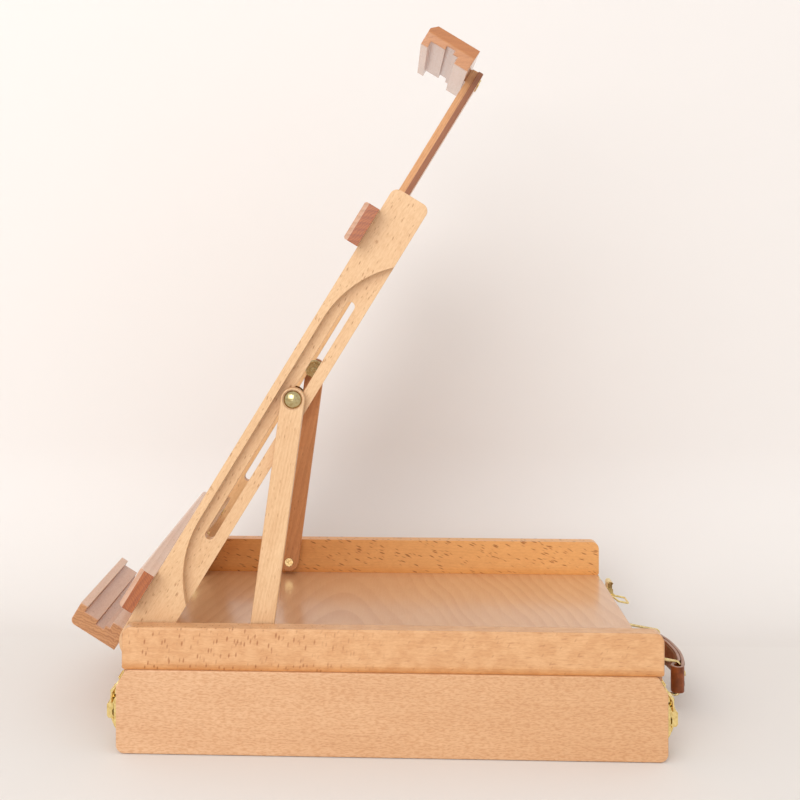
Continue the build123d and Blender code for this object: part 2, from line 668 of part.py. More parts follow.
# hooks on the edge of the lid panel, reaching down over the bevel of the wall
with BuildPart() as latch_catches:
    with BuildSketch(end_plane(LATCH_X + 7.2)):
        with BuildLine():
            Polyline((-4.5, 61.0), (-4.5, 56.5), (-3.75, 56.35), (0.05, 49.8), (0.5, 49.0), (1.5, 49.0),
                     (1.8, 49.4), (1.8, 50.5), (1.25, 50.5), (1.1, 49.9), (0.75, 49.9), (0.35, 50.9),
                     (-3.3, 57.6), (-3.3, 61.0), close=True)
        make_face()
    extrude(amount=14.4)
    mirror(about=Plane.YZ)
    mirror(about=Plane.XZ)
keep(latch_catches, "latch_catches")


def turned(p, centre, deg):
    """A point turned about centre, outwards and up for a positive angle."""
    a = radians(deg)
    x, z = p[0] - centre[0], p[1] - centre[1]
    return (centre[0] + x * cos(a) - z * sin(a), centre[1] + x * sin(a) + z * cos(a))


def make_lever(deg):
    """Latch lever at the front right corner, lifted deg from shut."""
    def t(p):
        return turned(p, LATCH_PIVOT, deg)
    with BuildPart() as lever:
        # knuckle round the pin and the web below it
        with BuildSketch(end_plane(LATCH_X + 4.2)):
            with BuildLine():
                Polyline(*[t(p) for p in ((8.1, 39.3), (5.1, 39.3), (5.1, 34.0), (5.6, 30.0), (9.6, 30.0),
                                          (8.5, 34.0))], close=True)
            make_face()
            with Locations(LATCH_PIVOT):
                Circle(1.6)
            with Locations(LATCH_PIVOT):
                Circle(LATCH_PIN_R + RUN, mode=Mode.SUBTRACT)
        extrude(amount=8.4)
        # two lugs that hold the ends of the bail
        for x in (LATCH_X + 7.4, LATCH_X - 6.2):
            with BuildSketch(end_plane(x)):
                with BuildLine():
                    Polyline(*[t(p) for p in ((4.95, 31.8), (8.65, 31.8), (9.8, 29.5), (5.5, 29.5))],
                             close=True)
                make_face()
                with Locations(t(LATCH_HOOK)):
                    Circle(1.9)
                with Locations(t(LATCH_HOOK)):
                    Circle(WIRE + RUN, mode=Mode.SUBTRACT)
            extrude(amount=1.2)
        # broad thumb tab with a curled tip
        with BuildSketch(end_plane(LATCH_X + 7.4)):
            with BuildLine():
                Polyline(*[t(p) for p in ((5.4, 30.6), (9.9, 30.6), (10.4, 30.0), (10.4, 21.5), (9.2, 19.8),
                                          (6.4, 19.6), (5.2, 21.0), (6.3, 22.4), (6.3, 25.6), (5.4, 27.0))],
                         close=True)
            make_face()
        extrude(amount=14.8)
    return lever.part


def make_bail(deg):
    """Bent wire bail of the front right latch when its lever is lifted deg from shut."""
    pin = turned(LATCH_HOOK, LATCH_PIVOT, deg)
    knee = turned(turned(LATCH_KNEE, LATCH_PIVOT, deg), pin, LATCH_RATIO * deg)
    bar = turned(turned(LATCH_BAR, LATCH_PIVOT, deg), pin, LATCH_RATIO * deg)
    near, far = LATCH_X + 9.4, LATCH_X - 9.4

    def at(x, p):
        return Vector(x, -BOX_HALF_L - p[0], p[1])
    with BuildPart() as bail:
        with BuildLine() as path:
            FilletPolyline(at(near - 3.2, pin), at(near, pin), at(near, knee), at(near, bar), at(far, bar),
                           at(far, knee), at(far, pin), at(far + 3.2, pin), radius=1.5)
        with BuildSketch(Plane(origin=at(near - 3.2, pin), z_dir=(1, 0, 0))):
            Circle(WIRE)
        sweep()
    return bail.part


shut_lever = make_lever(0.0)
shut_bail = make_bail(0.0)
open_lever = make_lever(LATCH_OPEN)
open_bail = make_bail(LATCH_OPEN)

with BuildPart() as latch_lever_front_right:
    add(shut_lever)
keep(latch_lever_front_right, "latch_lever_front_right")

with BuildPart() as latch_bail_front_right:
    add(shut_bail)
keep(latch_bail_front_right, "latch_bail_front_right")

with BuildPart() as latch_lever_front_left:
    mirror(shut_lever, about=Plane.YZ)
keep(latch_lever_front_left, "latch_lever_front_left")

with BuildPart() as latch_bail_front_left:
    mirror(shut_bail, about=Plane.YZ)
keep(latch_bail_front_left, "latch_bail_front_left")

with BuildPart() as latch_lever_back_right:
    mirror(shut_lever, about=Plane.XZ)
keep(latch_lever_back_right, "latch_lever_back_right")

with BuildPart() as latch_bail_back_right:
    mirror(shut_bail, about=Plane.XZ)
keep(latch_bail_back_right, "latch_bail_back_right")

# the back left latch stands open
with BuildPart() as latch_lever_back_left:
    add(open_lever.mirror(Plane.XZ).mirror(Plane.YZ))
keep(latch_lever_back_left, "latch_lever_back_left")

with BuildPart() as latch_bail_back_left:
    add(open_bail.mirror(Plane.XZ).mirror(Plane.YZ))
keep(latch_bail_back_left, "latch_bail_back_left")

# ---------------------------------------------------------------- carrying handle
with BuildPart() as handle_brackets:
    with BuildSketch(Plane(origin=(RING_X, BOX_HALF_L, 30.5), x_dir=(-1, 0, 0), z_dir=(0, 1, 0))):
        RectangleRounded(15, 36, 3)
    extrude(amount=1.4)
    with BuildSketch(Plane.XY.offset(22)):
        with Locations((RING_X, RING_Y)):
            Circle(2.7)
        with Locations((RING_X, RING_Y - 1.3)):
            Rectangle(5.4, 2.6)
        with Locations((RING_X, RING_Y)):
            Circle(RING_WIRE + RUN, mode=Mode.SUBTRACT)
    extrude(amount=14)
    mirror(about=Plane.YZ)
keep(handle_brackets, "handle_brackets")

with BuildPart() as handle_bracket_screws:
    for z in (16.3, 44.7):
        with BuildSketch(Plane(origin=(RING_X + 4.6, BOX_HALF_L + 1.4, z), x_dir=(-1, 0, 0), z_dir=(0, 1, 0))):
            Circle(2.0)
        extrude(amount=0.5)
        with BuildSketch(Plane(origin=(RING_X - 4.6, BOX_HALF_L + 1.4, z), x_dir=(-1, 0, 0), z_dir=(0, 1, 0))):
            Circle(2.0)
        extrude(amount=0.5)
        for x in (RING_X + 4.6, RING_X - 4.6):
            with BuildSketch(Plane(origin=(x, BOX_HALF_L + 1.9, z), x_dir=(-1, 0, 0), z_dir=(0, 1, 0))):
                Rectangle(2.6, 0.6)
                Rectangle(0.6, 2.6)
            extrude(amount=-0.35, mode=Mode.SUBTRACT)
    mirror(about=Plane.YZ)
keep(handle_bracket_screws, "handle_bracket_screws")

def make_ring(top_wall, top_out):
    """Bent wire ring in the right bracket; the heights of its upper wire at the wall and outside."""
    with BuildPart() as ring:
        with BuildLine() as path:
            FilletPolyline((RING_X, RING_Y, top_wall), (RING_X, RING_OUT_Y, top_out),
                           (RING_X, RING_OUT_Y, 9.4), (RING_X, RING_Y, 15.0), radius=3.0, close=True)
        with BuildSketch(Plane(origin=path.line @ 0, z_dir=path.line % 0)):
            Circle(RING_WIRE)
        sweep()
    return ring.part


with BuildPart() as handle_ring_right:
    add(make_ring(41.6, 36.2))
keep(handle_ring_right, "handle_ring_right")

# the left ring stands a little taller
with BuildPart() as handle_ring_left:
    add(make_ring(44.2, 38.8).mirror(Plane.YZ))
keep(handle_ring_left, "handle_ring_left")

# leather strap, looped over the rings at both ends
with BuildPart() as handle_strap:
    with BuildSketch(Plane.XY.offset(STRAP_Z[0])):
        with BuildLine():
            ThreePointArc((-40, 236.5), (0, 242.6), (40, 236.5))
            ThreePointArc((40, 236.5), (44.6, 231.2), (40, 225.9))
            Polyline((40, 225.9), (36, 227.0), (31, 231.6), (27, 234.2))
            ThreePointArc((27, 234.2), (0, 236.95), (-27, 234.2))
            Polyline((-27, 234.2), (-31, 231.6), (-36, 227.0), (-40, 225.9))
            ThreePointArc((-40, 225.9), (-44.6, 231.2), (-40, 236.5))
        make_face()
        with Locations((-RING_X, RING_OUT_Y), (RING_X, RING_OUT_Y)):
            Circle(RING_WIRE + 0.6, mode=Mode.SUBTRACT)
    extrude(amount=STRAP_Z[1] - STRAP_Z[0])
    # rivet holes that close the loops
    for x in (-27.5, 27.5):
        with BuildSketch(Plane(origin=(x, 246.0, 23.7), x_dir=(-1, 0, 0), z_dir=(0, 1, 0))):
            Circle(2.2)
        extrude(amount=-20, mode=Mode.SUBTRACT)
keep(handle_strap, "handle_strap")

with BuildPart() as strap_rivets:
    for x in (-27.5, 27.5):
        with BuildSketch(Plane(origin=(x, 240.2, 23.7), x_dir=(-1, 0, 0), z_dir=(0, 1, 0))):
            Circle(2.2)
        extrude(amount=-6.8)
keep(strap_rivets, "strap_rivets")

print(len(NAMES), "nodes")
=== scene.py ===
import math

import bmesh
import bpy
from mathutils import Matrix, Vector


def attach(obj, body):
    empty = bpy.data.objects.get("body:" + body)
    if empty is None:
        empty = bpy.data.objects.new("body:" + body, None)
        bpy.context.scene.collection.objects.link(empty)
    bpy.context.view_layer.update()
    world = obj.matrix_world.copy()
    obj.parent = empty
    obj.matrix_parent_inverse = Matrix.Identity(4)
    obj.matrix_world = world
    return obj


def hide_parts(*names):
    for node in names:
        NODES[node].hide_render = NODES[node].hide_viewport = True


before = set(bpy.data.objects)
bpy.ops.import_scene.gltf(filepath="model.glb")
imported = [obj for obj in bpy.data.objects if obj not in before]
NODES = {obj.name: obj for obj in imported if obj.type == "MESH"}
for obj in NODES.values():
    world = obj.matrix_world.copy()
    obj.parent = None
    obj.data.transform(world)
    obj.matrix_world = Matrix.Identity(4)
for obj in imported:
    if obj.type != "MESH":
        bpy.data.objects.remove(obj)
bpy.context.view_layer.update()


# ---------------------------------------------------------------- directions
TILT = math.radians(58.45)                    # the easel above the horizontal
CU, SU = math.cos(TILT), math.sin(TILT)
U = (0.0, CU, SU)                             # up along the easel
V = (0.0, -SU, CU)                            # out of its front
ARM_A = math.radians(79.27)
AU = (0.0, math.cos(ARM_A), math.sin(ARM_A))  # up along a strut
AV = (0.0, -math.sin(ARM_A), math.cos(ARM_A))
X, Y, Z = (1.0, 0.0, 0.0), (0.0, 1.0, 0.0), (0.0, 0.0, 1.0)
P0 = (-0.1856, 0.0771)                        # easel pivot, Y and Z


def on_easel(x, u, v):
    """A point of the easel frame in metres: x across, u up along it, v out of its front."""
    return Vector((x, P0[0] + u * CU - v * SU, P0[1] + u * SU + v * CU))


# ---------------------------------------------------------------- camera
scene = bpy.context.scene
cam_data = bpy.data.cameras.new("camera")
cam_data.sensor_fit = "HORIZONTAL"
cam_data.sensor_width = 36.0
cam_data.lens = 55.352
cam_data.shift_x = 0.0721
cam_data.shift_y = -0.1780
cam_data.clip_start, cam_data.clip_end = 0.02, 60.0
cam = bpy.data.objects.new("camera", cam_data)
scene.collection.objects.link(cam)
yaw = math.radians(2.43615)
aim = Vector((-math.cos(yaw), -math.sin(yaw), 0.0))
cam.location = (1.041093, 0.003725, 0.362445)
cam.rotation_mode = "QUATERNION"
cam.rotation_quaternion = aim.to_track_quat("-Z", "Y")
scene.camera = cam
scene.view_settings.view_transform = "Standard"
scene.view_settings.look = "None"
scene.view_settings.exposure = 0.0
scene.view_settings.gamma = 1.0


# ---------------------------------------------------------------- node helper
class Mat:
    """A material with short calls for its nodes."""

    def __init__(self, name):
        self.m = bpy.data.materials.new(name)
        self.m.use_nodes = True
        self.t = self.m.node_tree
        self.t.nodes.clear()
        self.out = self.t.nodes.new("ShaderNodeOutputMaterial")
        self.b = self.t.nodes.new("ShaderNodeBsdfPrincipled")
        self.t.links.new(self.b.outputs[0], self.out.inputs["Surface"])
        self.at = self.new("ShaderNodeTexCoord")

    def new(self, kind, **props):
        n = self.t.nodes.new(kind)
        for k, v in props.items():
            setattr(n, k, v)
        return n

    def put(self, socket, value):
        """Link a socket, or set its number."""
        if value is None:
            return
        if hasattr(value, "links"):
            self.t.links.new(value, socket)
        else:
            if socket.type == "RGBA" and not isinstance(value, (int, float)) and len(value) == 3:
                value = (*value, 1.0)
            socket.default_value = value

    def math(self, op, a, b=None, c=None, clamp=False):
        n = self.new("ShaderNodeMath", operation=op, use_clamp=clamp)
        for s, v in zip(n.inputs, (a, b, c)):
            self.put(s, v)
        return n.outputs[0]

    def vec(self, op, a, b=None, scale=None):
        n = self.new("ShaderNodeVectorMath", operation=op)
        self.put(n.inputs[0], a)
        self.put(n.inputs[1], b)
        if scale is not None:
            self.put(n.inputs["Scale"], scale)
        return n.outputs["Value"] if op in ("DOT_PRODUCT", "LENGTH", "DISTANCE") else n.outputs["Vector"]

    def xyz(self, x, y, z):
        n = self.new("ShaderNodeCombineXYZ")
        for s, v in zip(n.inputs, (x, y, z)):
            self.put(s, v)
        return n.outputs[0]

    def noise(self, at, scale=1.0, detail=2.0, rough=0.5, distortion=0.0):
        n = self.new("ShaderNodeTexNoise", noise_dimensions="3D")
        self.put(n.inputs["Vector"], at)
        self.put(n.inputs["Scale"], scale)
        self.put(n.inputs["Detail"], detail)
        self.put(n.inputs["Roughness"], rough)
        self.put(n.inputs["Distortion"], distortion)
        return n.outputs["Fac"]

    def cells(self, at, feature="F1", rand=1.0):
        n = self.new("ShaderNodeTexVoronoi", voronoi_dimensions="3D", feature=feature)
        self.put(n.inputs["Vector"], at)
        self.put(n.inputs["Scale"], 1.0)
        self.put(n.inputs["Randomness"], rand)
        return n.outputs["Distance"], (n.outputs["Color"] if feature == "F1" else None)

    def span(self, v, a, b, c=0.0, d=1.0, smooth=True):
        """Map a..b to c..d, held at the ends."""
        n = self.new("ShaderNodeMapRange", interpolation_type="SMOOTHSTEP" if smooth else "LINEAR")
        n.clamp = True
        for s, x in zip(n.inputs, (v, a, b, c, d)):
            self.put(s, x)
        return n.outputs[0]

    def ramp(self, fac, stops, interp="LINEAR"):
        n = self.new("ShaderNodeValToRGB")
        n.color_ramp.interpolation = interp
        e = n.color_ramp.elements
        e[0].position, e[0].color = stops[0][0], (*stops[0][1], 1.0)
        e[1].position, e[1].color = stops[-1][0], (*stops[-1][1], 1.0)
        for p, c in stops[1:-1]:
            x = e.new(p)
            x.color = (*c, 1.0)
        self.put(n.inputs[0], fac)
        return n.outputs[0]

    def mix(self, fac, a, b, blend="MIX"):
        n = self.new("ShaderNodeMix", data_type="RGBA", blend_type=blend)
        n.clamp_factor = True
        self.put(n.inputs[0], fac)
        self.put(n.inputs[6], a)
        self.put(n.inputs[7], b)
        return n.outputs[2]

    def bump(self, height, strength, distance, normal=None):
        n = self.new("ShaderNodeBump")
        self.put(n.inputs["Strength"], strength)
        self.put(n.inputs["Distance"], distance)
        self.put(n.inputs["Height"], height)
        if normal is not None:
            self.put(n.inputs["Normal"], normal)
        return n.outputs[0]

    def edges(self, radius, samples=6):
        """(rounded normal, 0 on faces to 1 on edges)."""
        n = self.new("ShaderNodeBevel", samples=samples)
        self.put(n.inputs["Radius"], radius)
        geo = self.new("ShaderNodeNewGeometry")
        flat = self.vec("DOT_PRODUCT", n.outputs[0], geo.outputs["Normal"])
        return n.outputs[0], self.span(flat, 0.995, 0.80, 0.0, 1.0, smooth=False)

    def set(self, **values):
        for k, v in values.items():
            self.put(self.b.inputs[k.replace("_", " ")], v)
        return self.m


# ---------------------------------------------------------------- wood
def wood(name, along, wide, colour, seed=0.0, dashes=(), weave=(3.6, 0.85, 0.9), weave_amount=0.34,
         fibre_amount=0.12, ring=2.4, ring_amount=0.10, pith=(0.0, 60.0), wander=6.0, slope=0.02,
         cloud=(90.0, 24.0, 26.0), cloud_amount=0.16, mottle_amount=0.10, dark=(0.80, 0.67, 0.55),
         rough=0.42, coat=0.35, coat_rough=0.28, end_colour=None, edge_highlight_amount=0.35,
         edge_highlight_tint=(1.10, 1.12, 1.14), bump=0.12, specular=0.4, edge_radius=0.0006,
         shade_ramp=None, bevel_shade_tint=None, side_shade=None, slope_tint=None, ring2=None,
         groove_shade=None):
    """Sawn wood in the frame of one piece. along is the grain, wide lies across it on the broad face.
    dashes are layers of dark ray flecks: (length, height, depth, turn in degrees, low cut, high cut,
    share, amount, tint, fade), in millimetres; fade is None or (from, to, value, value) along the grain.
    shade_ramp is (from, to, tint) along the grain, a painted shading ramp for light that falls off along the
    piece; bevel_shade_tint is (top, bottom, tint) for outer faces of a rail, painted shade and warm bounce light
    towards its lower edge;
    side_shade is (direction, from, to, tint) on the flanks, painted shade on the side faces that lie in shade;
    slope_tint colours faces that slope away from the end;
    ring2 is (pith, spacing, amount) of a second, finer set of rings on the end grain;
    groove_shade is (direction, mouth, inside, floor, past the floor, tint) of the grooves, painted shade inside
    them."""
    k = Mat(name)
    mm = k.vec("SCALE", k.at.outputs["Object"], scale=1000.0)
    a0 = k.vec("DOT_PRODUCT", mm, along)
    mm = k.vec("ADD", mm, (seed * 37.1, seed * 53.7, seed * 71.3))
    a = k.vec("DOT_PRODUCT", mm, along)
    b = k.vec("DOT_PRODUCT", mm, wide)
    deep = tuple(Vector(along).cross(Vector(wide)))
    c = k.vec("DOT_PRODUCT", mm, deep)
    off = Vector((seed * 37.1, seed * 53.7, seed * 71.3))
    b_off, c_off = off.dot(Vector(wide)), off.dot(Vector(deep))
    # slow wander of the fibres
    w1 = k.noise(k.xyz(k.math("MULTIPLY", a, 1 / 120), k.math("MULTIPLY", b, 1 / 55),
                       k.math("MULTIPLY", c, 1 / 55)), detail=1.0)
    w2 = k.noise(k.xyz(k.math("MULTIPLY", a, 1 / 9), k.math("MULTIPLY", b, 1 / 6),
                       k.math("MULTIPLY", c, 1 / 7)), detail=1.0)
    drift = k.math("ADD", k.math("MULTIPLY", k.math("SUBTRACT", w1, 0.5), wander),
                   k.math("MULTIPLY", k.math("SUBTRACT", w2, 0.5), 1.3))
    b1 = k.math("ADD", b, drift)
    # growth rings round the pith
    rb = k.math("SUBTRACT", b1, pith[0] + b_off)
    rc = k.math("SUBTRACT", c, pith[1] + c_off)
    rad = k.math("SQRT", k.math("ADD", k.math("MULTIPLY", rb, rb), k.math("MULTIPLY", rc, rc)))
    rad = k.math("ADD", rad, k.math("MULTIPLY", a, slope))
    rad = k.math("ADD", rad, k.math("MULTIPLY", w1, wander * 0.6))
    turn = k.math("FRACT", k.math("DIVIDE", rad, ring))
    late = k.math("MULTIPLY", k.span(turn, 0.20, 0.92), k.span(turn, 1.0, 0.93))
    lay = k.noise(k.xyz(k.math("DIVIDE", rad, ring * 2.7), 0.3, 0.7), detail=1.0)
    # short wavy vessels, fibres and clouds
    ves = k.noise(k.xyz(k.math("MULTIPLY", a, 1 / weave[0]), k.math("MULTIPLY", b1, 1 / weave[1]),
                        k.math("MULTIPLY", c, 1 / weave[2])), detail=1.5, rough=0.55, distortion=0.35)
    fib = k.noise(k.xyz(k.math("MULTIPLY", a, 1 / 26), k.math("MULTIPLY", b1, 1 / 0.9),
                        k.math("MULTIPLY", c, 1 / 1.3)), detail=3.0, rough=0.6)
    cl = k.noise(k.xyz(k.math("MULTIPLY", a, 1 / cloud[0]), k.math("MULTIPLY", b, 1 / cloud[1]),
                       k.math("MULTIPLY", c, 1 / cloud[2])), detail=2.0, rough=0.5)
    mot = k.noise(k.xyz(k.math("MULTIPLY", a, 1 / 11), k.math("MULTIPLY", b, 1 / 8),
                        k.math("MULTIPLY", c, 1 / 8)), detail=2.0, rough=0.6)
    col = k.mix(k.math("MULTIPLY", k.span(cl, 0.32, 0.68), cloud_amount), colour, dark, "MULTIPLY")
    col = k.mix(k.math("MULTIPLY", k.span(mot, 0.35, 0.65), mottle_amount), col, dark, "MULTIPLY")
    col = k.mix(k.math("MULTIPLY", k.math("MULTIPLY", late, k.span(lay, 0.3, 0.6, 0.35, 1.0)), ring_amount),
                col, tuple(x * x for x in dark), "MULTIPLY")
    col = k.mix(k.math("MULTIPLY", k.span(fib, 0.38, 0.66), fibre_amount), col, dark, "MULTIPLY")
    col = k.mix(k.math("MULTIPLY", k.span(ves, 0.40, 0.66), weave_amount), col, dark, "MULTIPLY")
    total = None
    for i, (la, lb, lc, deg, lo, hi, share, amount, tint, fade) in enumerate(dashes):
        cs, sn = math.cos(math.radians(deg)), math.sin(math.radians(deg))
        al = k.math("ADD", k.math("MULTIPLY", a, cs), k.math("MULTIPLY", b1, sn))
        bl = k.math("SUBTRACT", k.math("MULTIPLY", b1, cs), k.math("MULTIPLY", a, sn))
        d, ccol = k.cells(k.xyz(k.math("DIVIDE", al, la), k.math("DIVIDE", bl, lb),
                                k.math("ADD", k.math("DIVIDE", c, lc), i * 7.3)))
        sep = k.new("ShaderNodeSeparateColor")
        k.put(sep.inputs[0], ccol)
        some = k.span(sep.outputs[0], 1.0 - share, 1.0 - share * 0.55)
        dash = k.math("MULTIPLY", k.span(d, hi, lo), some)
        if fade is not None:
            dash = k.math("MULTIPLY", dash, k.span(a0, fade[0], fade[1], fade[2], fade[3]))
        col = k.mix(k.math("MULTIPLY", dash, amount), col, tint, "MULTIPLY")
        total = dash if total is None else k.math("MAXIMUM", total, dash)
    # end grain takes more finish
    across = k.math("ABSOLUTE", k.vec("DOT_PRODUCT", k.at.outputs["Normal"], along))
    end = k.span(across, 0.60, 0.90)
    if end_colour is None:
        end_colour = tuple(x * y for x, y in zip(colour, (0.86, 0.76, 0.66)))
    pores = k.noise(k.xyz(k.math("MULTIPLY", a, 1 / 3), k.math("MULTIPLY", b, 1 / 0.7),
                          k.math("MULTIPLY", c, 1 / 0.7)), detail=2.0)
    ecol = k.mix(k.math("MULTIPLY", late, min(1.0, ring_amount * 1.6)), end_colour,
                 tuple(x * x for x in dark), "MULTIPLY")
    if ring2 is not None:
        wob = k.noise(k.xyz(k.math("MULTIPLY", a, 1 / 30), k.math("MULTIPLY", b, 1 / 4.5),
                            k.math("MULTIPLY", c, 1 / 4.5)), detail=2.0)
        eb = k.math("SUBTRACT", b, ring2[0][0] + b_off)
        ec = k.math("SUBTRACT", c, ring2[0][1] + c_off)
        er = k.math("SQRT", k.math("ADD", k.math("MULTIPLY", eb, eb), k.math("MULTIPLY", ec, ec)))
        er = k.math("ADD", er, k.math("MULTIPLY", wob, ring2[1] * 2.2))
        et = k.math("FRACT", k.math("DIVIDE", er, ring2[1]))
        line = k.math("MULTIPLY", k.span(et, 0.35, 0.85), k.span(et, 1.0, 0.90))
        band = k.noise(k.xyz(k.math("DIVIDE", er, ring2[1] * 2.6), 0.1, 0.4), detail=1.0)
        line = k.math("MULTIPLY", line, k.span(band, 0.30, 0.62, 0.25, 1.0))
        ecol = k.mix(k.math("MULTIPLY", line, ring2[2]), ecol, (0.62, 0.46, 0.34), "MULTIPLY")
    ecol = k.mix(k.math("MULTIPLY", k.span(pores, 0.4, 0.66), 0.25), ecol, dark, "MULTIPLY")
    col = k.mix(end, col, ecol)
    if slope_tint is not None:
        sl = k.math("MULTIPLY", k.span(across, 0.72, 0.79), k.span(across, 0.93, 0.86))
        col = k.mix(sl, col, slope_tint, "MULTIPLY")
    # painted shade in the grooves: darker between their mouth and their floor, where less light reaches
    if groove_shade is not None:
        g = k.vec("DOT_PRODUCT", k.vec("SCALE", k.at.outputs["Object"], scale=1000.0), groove_shade[0])
        inner = k.math("MULTIPLY", k.span(g, groove_shade[1], groove_shade[2]),
                       k.span(g, groove_shade[4], groove_shade[3]))
        inner = k.math("MULTIPLY", inner, k.math("SUBTRACT", 1.0, end))
        col = k.mix(inner, col, groove_shade[5], "MULTIPLY")
    # painted shade on the flanks towards the back of the piece, where its side lies in shade
    if side_shade is not None:
        q = k.vec("DOT_PRODUCT", k.vec("SCALE", k.at.outputs["Object"], scale=1000.0), side_shade[0])
        shaded_flank = k.span(k.math("ABSOLUTE", k.vec("DOT_PRODUCT", k.at.outputs["Normal"], X)), 0.35, 0.65)
        col = k.mix(k.math("MULTIPLY", k.span(q, side_shade[1], side_shade[2]), shaded_flank), col, side_shade[3],
                    "MULTIPLY")
    # painted light and shade along the grain: the tint darkens the piece towards the end that gets less light, or
    # that lies in shadow
    if shade_ramp is not None:
        col = k.mix(k.span(a0, shade_ramp[0], shade_ramp[1], smooth=False), col, shade_ramp[2], "MULTIPLY")
    # painted shade and warm bounce light from the board below: the rail's outer face and bevel turn darker and
    # more orange towards the bottom edge
    if bevel_shade_tint is not None:
        z = k.new("ShaderNodeSeparateXYZ")
        k.put(z.inputs[0], k.at.outputs["Normal"])
        low = k.vec("DOT_PRODUCT", k.vec("SCALE", k.at.outputs["Object"], scale=1000.0), Z)
        low_shade = k.math("MULTIPLY", k.span(z.outputs[2], 0.45, 0.25), k.span(z.outputs[2], -0.75, -0.55))
        low_shade = k.math("MULTIPLY", low_shade, k.span(low, bevel_shade_tint[0], bevel_shade_tint[1]))
        col = k.mix(low_shade, col, bevel_shade_tint[2], "MULTIPLY")
    # paler, whiter edges: painted edge highlight for the light the eased edges catch
    rounded, edge = k.edges(edge_radius)
    col = k.mix(k.math("MULTIPLY", edge, edge_highlight_amount), col, edge_highlight_tint, "MULTIPLY")
    gloss = k.math("ADD", rough, k.math("MULTIPLY", k.math("SUBTRACT", fib, 0.5), 0.16))
    height = k.math("SUBTRACT", k.math("MULTIPLY", fib, 0.4), k.math("MULTIPLY", ves, 0.4))
    if total is not None:
        gloss = k.math("ADD", gloss, k.math("MULTIPLY", total, 0.08))
        height = k.math("SUBTRACT", height, k.math("MULTIPLY", total, 0.5))
    normal = k.bump(height, bump, 0.0002, rounded)
    m = k.set(Base_Color=col, Roughness=gloss, Normal=normal)
    k.b.inputs["Specular IOR Level"].default_value = specular
    k.b.inputs["Coat Weight"].default_value = coat
    k.b.inputs["Coat Roughness"].default_value = coat_rough
    k.put(k.b.inputs["Coat Normal"], k.bump(height, bump * 0.25, 0.0002, rounded))
    return m


# ---------------------------------------------------------------- metal and leather
def brass(name, seed=0.0, colour=(0.86, 0.70, 0.38), rough=0.17, worn=0.3, brushed=None):
    """Lacquered brass with fine scratches, small dull spots and paler edges."""
    k = Mat(name)
    mm = k.vec("SCALE", k.at.outputs["Object"], scale=1000.0)
    mm = k.vec("ADD", mm, (seed * 11.3, seed * 7.9, seed * 17.1))
    cloud = k.noise(mm, 0.45, 3.0, 0.6)
    spots = k.noise(mm, 3.2, 2.0, 0.6)
    scratch = k.noise(k.vec("MULTIPLY", mm, brushed or (6.0, 0.7, 4.0)), 1.0, 3.0, 0.7, 0.4)
    deep = tuple(x * y for x, y in zip(colour, (0.80, 0.72, 0.58)))
    col = k.mix(k.span(cloud, 0.35, 0.7), colour, deep)
    col = k.mix(k.math("MULTIPLY", k.span(spots, 0.62, 0.78), worn), col,
                tuple(x * y for x, y in zip(colour, (0.55, 0.45, 0.34))))
    rounded, edge = k.edges(0.00025, 4)
    col = k.mix(k.math("MULTIPLY", edge, 0.5), col, tuple(min(1.0, x * 1.12) for x in colour))
    r = k.math("ADD", rough, k.math("MULTIPLY", k.math("SUBTRACT", scratch, 0.5), 0.16))
    r = k.math("ADD", r, k.math("MULTIPLY", k.span(spots, 0.55, 0.8), 0.15))
    normal = k.bump(k.math("ADD", scratch, k.math("MULTIPLY", cloud, 2.0)), 0.10, 0.00006, rounded)
    m = k.set(Base_Color=col, Roughness=r, Normal=normal)
    k.b.inputs["Metallic"].default_value = 1.0
    return m


def leather(name, colour=(0.290, 0.070, 0.014), dark=(0.150, 0.033, 0.006), rough=0.40):
    """Smooth dyed strap leather: fine pebble, creases, dark folds, and a painted sheen that makes upward-facing
    faces paler.
    """
    k = Mat(name)
    mm = k.vec("SCALE", k.at.outputs["Object"], scale=1000.0)
    d, _ = k.cells(k.vec("SCALE", mm, scale=1.5), "F1")
    e, _ = k.cells(k.vec("SCALE", k.vec("MULTIPLY", mm, (1.0, 1.0, 0.8)), scale=1.1), "DISTANCE_TO_EDGE")
    cloud = k.noise(mm, 0.16, 3.0, 0.6)
    pores = k.noise(mm, 4.5, 2.0, 0.6)
    crease = k.noise(k.vec("MULTIPLY", mm, (0.9, 0.9, 0.10)), 1.0, 3.0, 0.6, 0.6)
    col = k.mix(k.span(cloud, 0.3, 0.7), colour, dark)
    col = k.mix(k.math("MULTIPLY", k.span(e, 0.10, 0.0), 0.30), col, dark)
    col = k.mix(k.math("MULTIPLY", k.span(crease, 0.55, 0.72), 0.30), col, dark)
    col = k.mix(k.math("MULTIPLY", k.span(pores, 0.6, 0.75), 0.25), col, tuple(x * 1.5 for x in colour))
    rounded, edge = k.edges(0.0006, 4)
    col = k.mix(k.math("MULTIPLY", edge, 0.06), col, dark)
    # upward-facing faces are paler: a painted sheen for the light the smooth top edge catches
    z = k.new("ShaderNodeSeparateXYZ")
    k.put(z.inputs[0], k.at.outputs["Normal"])
    top = k.span(z.outputs[2], 0.35, 0.85)
    col = k.mix(k.math("MULTIPLY", top, 0.92), col, k.mix(cloud, (0.44, 0.275, 0.215), (0.35, 0.200, 0.150)))
    r = k.math("ADD", rough, k.math("MULTIPLY", k.math("SUBTRACT", cloud, 0.5), 0.25))
    height = k.math("ADD", k.math("MULTIPLY", k.span(e, 0.0, 0.16), 1.0), k.math("MULTIPLY", crease, -0.8))
    height = k.math("ADD", height, k.math("MULTIPLY", d, 0.3))
    m = k.set(Base_Color=col, Roughness=r, Normal=k.bump(height, 0.30, 0.00012, rounded))
    k.b.inputs["Specular IOR Level"].default_value = 0.35
    return m


